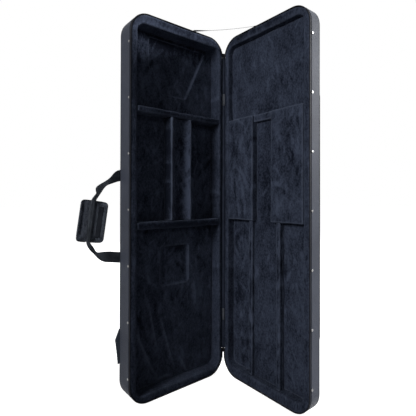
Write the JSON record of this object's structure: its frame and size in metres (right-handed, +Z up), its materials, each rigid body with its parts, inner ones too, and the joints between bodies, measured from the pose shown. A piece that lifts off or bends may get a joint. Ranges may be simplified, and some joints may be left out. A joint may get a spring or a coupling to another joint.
{
  "type": "bass guitar case",
  "caption": "Rectangular zipped bass guitar case standing open on its tail end, with plush foam compartments, side handle, lid stay, back straps and an outside pocket.",
  "frame": {"origin": "middle of the base half's flat tail end, which stands on the floor", "axes": "+Z up along the case's length, -Y out of the base half's mouth, -X out of the lid half's mouth when it stands open at a right angle"},
  "size_m": [0.6076, 0.4728, 1.2427],
  "materials": {
    "shell_cloth": "woven synthetic cloth, satin",
    "panel_cloth": "woven synthetic cloth, matt",
    "plush": "short pile plush, navy black",
    "foam_board": "stiff board",
    "zip_tape": "woven tape",
    "zip_coil": "moulded coil",
    "piping_cord": "bound cord",
    "rivet_metal": "bright nickel",
    "webbing": "woven webbing",
    "pad_cloth": "padded cloth",
    "hook_tape": "hook and loop tape",
    "buckle_plastic": "moulded",
    "slider_metal": "black enamel"
  },
  "bodies": {
    "base": {"base_side_band": "shell_cloth", "base_outer_panel": "panel_cloth", "base_piping": "piping_cord", "base_frame_board": "foam_board", "base_rivets": "rivet_metal", "base_zip_tape": "zip_tape", "base_zip_chain": "zip_coil", "base_rim_foam": "plush", "base_body_pad": "plush", "base_head_pad": "plush", "base_body_divider": "plush", "base_head_divider": "plush", "base_neck_support": "plush", "base_hinge_leaf": "zip_tape", "base_hinge_tabs": "webbing", "stay_base_anchor": "webbing", "lid_stay": "webbing", "handle_anchors": "webbing", "strap_yoke": "pad_cloth", "strap_outer_pad": "pad_cloth", "strap_outer_buckle": "buckle_plastic", "strap_outer_anchor": "pad_cloth", "strap_outer_webbing": "webbing", "strap_spine_pad": "pad_cloth", "strap_spine_buckle": "buckle_plastic", "strap_spine_anchor": "pad_cloth", "strap_spine_webbing": "webbing", "main_slider_upper": "slider_metal", "main_slider_lower": "slider_metal"},
    "lid": {"lid_side_band": "shell_cloth", "lid_outer_panel": "panel_cloth", "lid_piping": "piping_cord", "lid_frame_board": "foam_board", "lid_rivets": "rivet_metal", "lid_zip_tape": "zip_tape", "lid_zip_chain": "zip_coil", "lid_rim_foam": "plush", "lid_floor_pad": "plush", "lid_centre_pad": "plush", "lid_spine_block": "plush", "lid_outer_block": "plush", "lid_channel_ledge": "plush", "lid_spine_rib": "plush", "lid_outer_rib": "plush", "lid_hinge_leaf": "zip_tape", "lid_hinge_tabs": "webbing", "stay_lid_anchor": "webbing", "lid_pocket": "pad_cloth", "pocket_zip_tape": "zip_tape"},
    "handle": {"handle_webbing": "webbing", "wrap_core": "pad_cloth"},
    "wrap_inner_flap": {"wrap_inner_flap": "pad_cloth", "wrap_loop_strip": "hook_tape"},
    "wrap_outer_flap": {"wrap_outer_flap": "pad_cloth", "wrap_hook_strip": "hook_tape"},
    "main_pull_upper": {"main_pull_upper": "slider_metal"},
    "main_pull_lower": {"main_pull_lower": "slider_metal"},
    "pocket_slider": {"pocket_slider": "slider_metal"},
    "pocket_pull": {"pocket_pull": "slider_metal"}
  },
  "joints": [
    {"name": "lid_hinge", "type": "hinge", "parent": "base", "child": "lid", "pos_m": [0.1925, -0.039, 0.634], "axis": [0, 0, 1], "range_deg": [-90, 0], "deforming": ["lid_stay"]},
    {"name": "handle_swing", "type": "hinge", "parent": "base", "child": "handle", "pos_m": [-0.1915, 0.038, 0.5915], "axis": [0, 0, 1], "range_deg": [-100, 55]},
    {"name": "wrap_inner_fold", "type": "hinge", "parent": "handle", "child": "wrap_inner_flap", "pos_m": [-0.272, 0.0425, 0.57782], "axis": [0.1393, 0, 0.9903], "range_deg": [-60, 25]},
    {"name": "wrap_outer_fold", "type": "hinge", "parent": "handle", "child": "wrap_outer_flap", "pos_m": [-0.30131, 0.0425, 0.58194], "axis": [0.1393, 0, 0.9903], "range_deg": [-25, 60]},
    {"name": "main_pull_upper_swing", "type": "hinge", "parent": "base", "child": "main_pull_upper", "pos_m": [0.19888, -0.03262, 1.189], "axis": [-0.7071, 0.7071, 0], "range_deg": [-165, 0]},
    {"name": "main_pull_lower_swing", "type": "hinge", "parent": "base", "child": "main_pull_lower", "pos_m": [0.19888, -0.03262, 0.079], "axis": [-0.7071, 0.7071, 0], "range_deg": [-165, 0]},
    {"name": "pocket_zip_slide", "type": "slide", "parent": "lid", "child": "pocket_slider", "axis": [0, 0, 1], "range_m": [0, 0.642]},
    {"name": "pocket_pull_swing", "type": "hinge", "parent": "pocket_slider", "child": "pocket_pull", "pos_m": [0.27592, -0.363, 0.274], "axis": [0, 1, 0], "range_deg": [-165, 0]}
  ]
}
